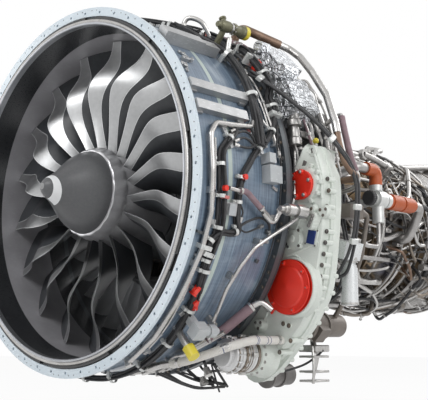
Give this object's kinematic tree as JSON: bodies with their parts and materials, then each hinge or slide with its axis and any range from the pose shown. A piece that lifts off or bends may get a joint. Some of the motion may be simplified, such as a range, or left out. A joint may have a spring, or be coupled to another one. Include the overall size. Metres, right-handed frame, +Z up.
{
  "type": "geared turbofan jet engine",
  "caption": "Geared turbofan with a swept-blade fan, star reduction gear, two core spools, side gearbox, ducts and tubes.",
  "frame": {"origin": "centre of the front face of the inlet flange, on the shaft line", "axes": "+Y along the shaft towards the exhaust, +Z up towards the engine mounts, +X towards the accessory gearbox"},
  "size_m": [1.7779, 3.19, 1.6487],
  "materials": {
    "flange_paint": "satin",
    "seal_grey": "satin",
    "bright_lip": "polished",
    "liner_black": "matte",
    "rub_grey": "satin",
    "composite_blue": "satin",
    "dark_flange": "satin",
    "frame_metal": "satin",
    "vane_metal": "satin",
    "blade_dark": "satin",
    "hub_polished": "polished",
    "spinner_grey": "satin",
    "gear_steel": "machined",
    "bearing_steel": "ground",
    "rotor_alloy": "machined",
    "gearbox_green": "satin",
    "cover_red": "satin",
    "generator_metal": "satin",
    "pump_dark": "satin",
    "pump_brown": "satin",
    "filter_white": "gloss",
    "foil_silver": "crumpled",
    "box_grey": "satin",
    "rail_silver": "satin",
    "olive_metal": "satin",
    "cap_yellow": "satin",
    "tube_steel": "satin",
    "hose_mauve": "matte",
    "bronze_metal": "satin",
    "sleeve_orange": "satin",
    "harness_black": "matte",
    "valve_steel": "satin",
    "cold_case": "satin",
    "hot_case": "heat tinted"
  },
  "bodies": {
    "engine_frame": {"inlet_flange": "flange_paint", "seal_ring": "seal_grey", "inlet_lip": "bright_lip", "case_liners": "liner_black", "rub_strip": "rub_grey", "fan_case": "composite_blue", "rear_flange": "dark_flange", "fan_exit_case": "frame_metal", "gear_carrier": "frame_metal", "bearings": "bearing_steel", "fan_frame": "frame_metal", "outlet_guide_vanes": "vane_metal", "lpc_case": "cold_case", "intermediate_case": "cold_case", "hpc_case": "cold_case", "combustor_case": "hot_case", "burner_set": "hot_case", "turbine_nozzle": "hot_case", "hpt_case": "hot_case", "lpt_case": "hot_case", "cooling_rings": "tube_steel", "exhaust_case": "hot_case", "exhaust_frame": "hot_case", "gearbox_front_housing": "gearbox_green", "gearbox_rear_housing": "gearbox_green", "red_covers": "cover_red", "generator": "generator_metal", "lubrication_pump": "pump_dark", "fuel_pump": "pump_brown", "oil_filter": "filter_white", "valve_pack": "foil_silver", "sensor_boxes": "box_grey", "case_rails": "rail_silver", "anti_ice_valve": "olive_metal", "yellow_caps": "cap_yellow", "case_tubes": "tube_steel", "bronze_ducts": "bronze_metal", "silver_ducts": "tube_steel", "mauve_hoses": "hose_mauve", "harness": "harness_black", "air_valve": "valve_steel", "air_sleeves": "sleeve_orange", "core_ducts": "tube_steel"},
    "fan_rotor": {"spinner": "spinner_grey", "fan_hub": "hub_polished", "fan_blades": "blade_dark", "fan_shaft": "gear_steel", "ring_gear": "gear_steel"},
    "low_spool": {"sun_gear": "gear_steel", "lp_shaft": "gear_steel", "lpc_rotor": "rotor_alloy", "lpt_rotor": "rotor_alloy"},
    "high_spool": {"hpc_rotor": "rotor_alloy", "hpt_rotor": "rotor_alloy"},
    "tower": {"tower_shaft": "gear_steel"},
    "star_1": {"star_gear_1": "gear_steel"},
    "star_2": {"star_gear_2": "gear_steel"},
    "star_3": {"star_gear_3": "gear_steel"},
    "star_4": {"star_gear_4": "gear_steel"},
    "star_5": {"star_gear_5": "gear_steel"}
  },
  "joints": [
    {"name": "fan_spin", "type": "hinge", "parent": "engine_frame", "child": "fan_rotor", "pos_m": [0, 0, 0], "axis": [0, 1, 0], "continuous": true},
    {"name": "low_spin", "type": "hinge", "parent": "engine_frame", "child": "low_spool", "pos_m": [0, 0.8, 0], "axis": [0, 1, 0], "continuous": true},
    {"name": "high_spin", "type": "hinge", "parent": "engine_frame", "child": "high_spool", "pos_m": [0, 1.3, 0], "axis": [0, 1, 0], "continuous": true},
    {"name": "star_1_spin", "type": "hinge", "parent": "engine_frame", "child": "star_1", "pos_m": [0, 0.465, 0.12], "axis": [0, 1, 0], "continuous": true},
    {"name": "star_2_spin", "type": "hinge", "parent": "engine_frame", "child": "star_2", "pos_m": [-0.11413, 0.465, 0.03708], "axis": [0, 1, 0], "continuous": true},
    {"name": "star_3_spin", "type": "hinge", "parent": "engine_frame", "child": "star_3", "pos_m": [-0.07053, 0.465, -0.09708], "axis": [0, 1, 0], "continuous": true},
    {"name": "star_4_spin", "type": "hinge", "parent": "engine_frame", "child": "star_4", "pos_m": [0.07053, 0.465, -0.09708], "axis": [0, 1, 0], "continuous": true},
    {"name": "star_5_spin", "type": "hinge", "parent": "engine_frame", "child": "star_5", "pos_m": [0.11413, 0.465, 0.03708], "axis": [0, 1, 0], "continuous": true},
    {"name": "tower_spin", "type": "hinge", "parent": "engine_frame", "child": "tower", "pos_m": [0.36955, 0.785, -0.15307], "axis": [0.9239, 0, -0.3827], "continuous": true}
  ],
  "couplings": [
    {"joint": "low_spin", "follows": "fan_spin", "ratio": -3},
    {"joint": "star_1_spin", "follows": "fan_spin", "ratio": 3},
    {"joint": "star_2_spin", "follows": "fan_spin", "ratio": 3},
    {"joint": "star_3_spin", "follows": "fan_spin", "ratio": 3},
    {"joint": "star_4_spin", "follows": "fan_spin", "ratio": 3},
    {"joint": "star_5_spin", "follows": "fan_spin", "ratio": 3},
    {"joint": "tower_spin", "follows": "high_spin", "ratio": -2.1429}
  ]
}
